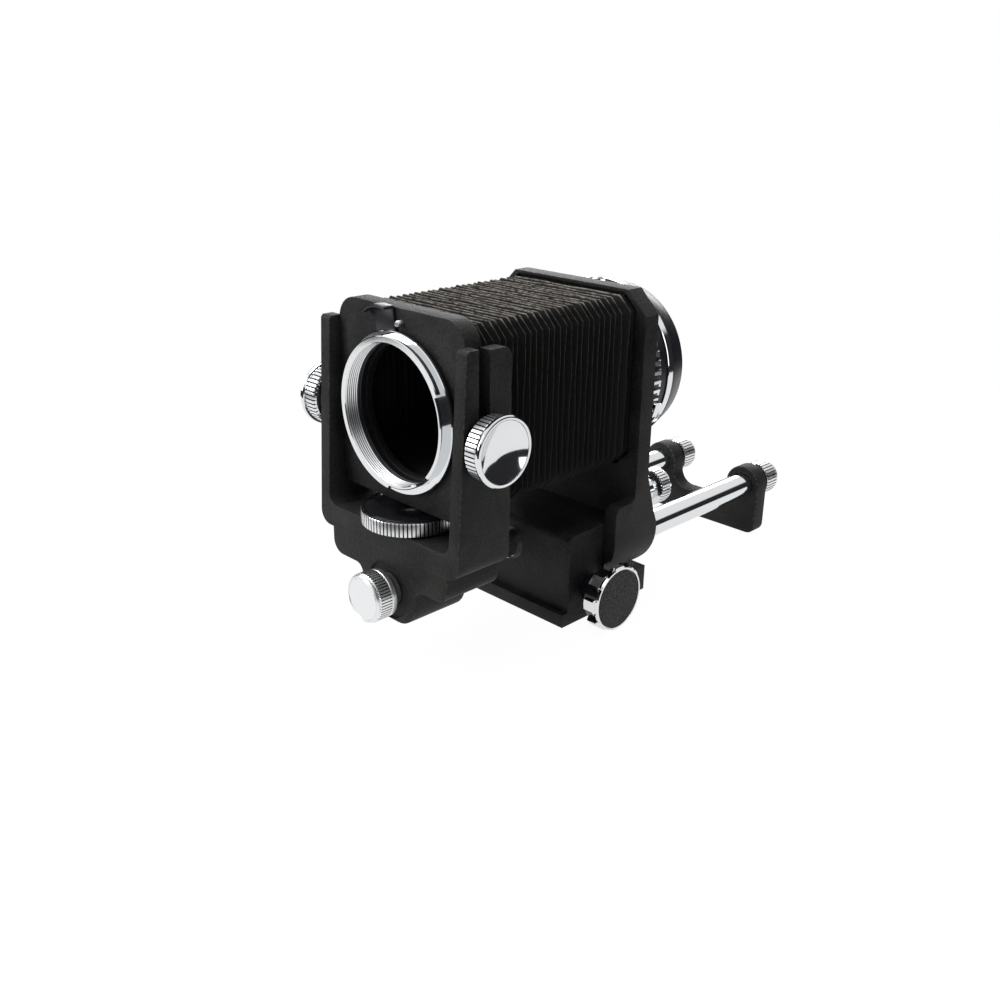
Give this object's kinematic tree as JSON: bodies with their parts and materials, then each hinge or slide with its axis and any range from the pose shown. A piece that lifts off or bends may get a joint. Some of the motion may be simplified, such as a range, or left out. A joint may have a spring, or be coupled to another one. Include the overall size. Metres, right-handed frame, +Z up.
{
  "type": "macro bellows unit",
  "caption": "Focusing bellows for close-up photography: a tilting and swinging lens board on a rack-driven ram, pleated cloth bellows, camera mount and twin guide rods.",
  "frame": {"origin": "the mouth of the tripod thread, on the flat underside of the carriage, in the plane of symmetry of the optical axis", "axes": "+Y runs along the optical axis from the lens side to the camera side, +Z is up and +X is the side that carries the focus knob"},
  "size_m": [0.1094, 0.2527, 0.146],
  "materials": {
    "black_paint": "fine black crinkle paint on castings, worn grey at the edges",
    "black_metal": "smooth black anodised or painted metal",
    "chrome": "bright chrome plate, knurled where it is gripped",
    "steel": "machined bare steel",
    "bronze": "machined bearing bronze",
    "bellows_cloth": "matte black pleated cloth, brownish on the worn folds",
    "black_plastic": "smooth black plastic",
    "leatherette": "pebbled dark grey leatherette"
  },
  "bodies": {
    "carriage_base": {"base_block": "black_paint", "tripod_bush": "bronze", "ram_bush_front": "bronze", "ram_bush_rear": "bronze", "pinion_bushes": "bronze", "rear_standard": "black_paint", "standard_screws": "steel", "rear_bellows_frame": "black_metal", "bellows": "bellows_cloth", "rod_right": "chrome", "rod_left": "chrome", "end_bracket": "black_paint", "mount_tube": "black_paint", "mount_seat_ring": "chrome", "mount_rear_rim": "black_metal", "mount_screws": "black_metal", "end_washers": "black_plastic"},
    "camera_lock_ring": {"mount_lock_ring": "chrome"},
    "camera_catch": {"mount_catch": "chrome"},
    "focus_drive": {"pinion_shaft": "steel", "focus_knob": "chrome", "focus_knob_cap": "leatherette"},
    "ram_carriage": {"ram": "steel", "front_foot": "black_paint", "swing_stud": "steel"},
    "front_clamp_knob": {"front_knob": "chrome"},
    "ram_stop_knob": {"ram_end_knob": "chrome"},
    "swing_yoke": {"yoke": "black_paint"},
    "swing_wheel": {"wheel_rim": "chrome", "wheel_disc": "black_plastic"},
    "tilt_board": {"lens_board": "black_paint", "board_trunnions": "steel", "lens_ring": "chrome", "stop_pin": "steel", "front_bellows_frame": "black_metal", "tilt_washers": "black_plastic"},
    "lens_lever": {"lens_lock_lever": "black_metal"},
    "tilt_clamp_right": {"tilt_knob_right": "chrome", "tilt_cap_right": "chrome"},
    "tilt_clamp_left": {"tilt_knob_left": "chrome", "tilt_cap_left": "chrome"},
    "rod_nut_right": {"end_knob_right": "chrome"},
    "rod_nut_left": {"end_knob_left": "chrome"}
  },
  "joints": [
    {"name": "focus_slide", "type": "slide", "parent": "carriage_base", "child": "ram_carriage", "axis": [0, -1, 0], "range_m": [-0.034, 0.048], "deforming": ["bellows"]},
    {"name": "focus_turn", "type": "hinge", "parent": "carriage_base", "child": "focus_drive", "pos_m": [0, -0.012, 0.01535], "axis": [1, 0, 0], "range_deg": [-245, 345]},
    {"name": "swing_turn", "type": "hinge", "parent": "ram_carriage", "child": "swing_yoke", "pos_m": [0, -0.0832, 0.05], "axis": [0, 0, 1], "range_deg": [-15, 15], "deforming": ["bellows"]},
    {"name": "swing_wheel_turn", "type": "hinge", "parent": "ram_carriage", "child": "swing_wheel", "pos_m": [0, -0.0832, 0.06], "axis": [0, 0, 1], "range_deg": [0, 180]},
    {"name": "tilt_turn", "type": "hinge", "parent": "swing_yoke", "child": "tilt_board", "pos_m": [0, -0.0832, 0.0995], "axis": [1, 0, 0], "range_deg": [-12, 12], "deforming": ["bellows"]},
    {"name": "lens_lever_turn", "type": "hinge", "parent": "tilt_board", "child": "lens_lever", "pos_m": [0, -0.088, 0.103], "axis": [0, 1, 0], "range_deg": [-18, 2]},
    {"name": "tilt_clamp_right_turn", "type": "hinge", "parent": "tilt_board", "child": "tilt_clamp_right", "pos_m": [0.05, -0.0832, 0.0995], "axis": [1, 0, 0], "range_deg": [0, 180]},
    {"name": "tilt_clamp_left_turn", "type": "hinge", "parent": "tilt_board", "child": "tilt_clamp_left", "pos_m": [-0.05, -0.0832, 0.0995], "axis": [-1, 0, 0], "range_deg": [0, 180]},
    {"name": "front_clamp_turn", "type": "hinge", "parent": "ram_carriage", "child": "front_clamp_knob", "pos_m": [0, -0.1, 0.029], "axis": [0, -1, 0], "range_deg": [0, 270]},
    {"name": "ram_stop_turn", "type": "hinge", "parent": "ram_carriage", "child": "ram_stop_knob", "pos_m": [0, 0.08, 0.029], "axis": [0, 1, 0], "range_deg": [0, 270]},
    {"name": "rod_nut_right_turn", "type": "hinge", "parent": "carriage_base", "child": "rod_nut_right", "pos_m": [0.02685, 0.137, 0.0262], "axis": [0, 1, 0], "range_deg": [0, 270]},
    {"name": "rod_nut_left_turn", "type": "hinge", "parent": "carriage_base", "child": "rod_nut_left", "pos_m": [-0.02685, 0.137, 0.0262], "axis": [0, 1, 0], "range_deg": [0, 270]},
    {"name": "camera_lock_turn", "type": "hinge", "parent": "carriage_base", "child": "camera_lock_ring", "pos_m": [0, 0.025, 0.103], "axis": [0, 1, 0], "range_deg": [0, 30]},
    {"name": "camera_catch_press", "type": "slide", "parent": "carriage_base", "child": "camera_catch", "axis": [0, -1, 0], "range_m": [0, 0.0015], "stiffness_N_per_m": 400, "springref_m": -0.002}
  ],
  "couplings": [
    {"joint": "focus_turn", "follows": "focus_slide", "rad_per_m": 125}
  ]
}
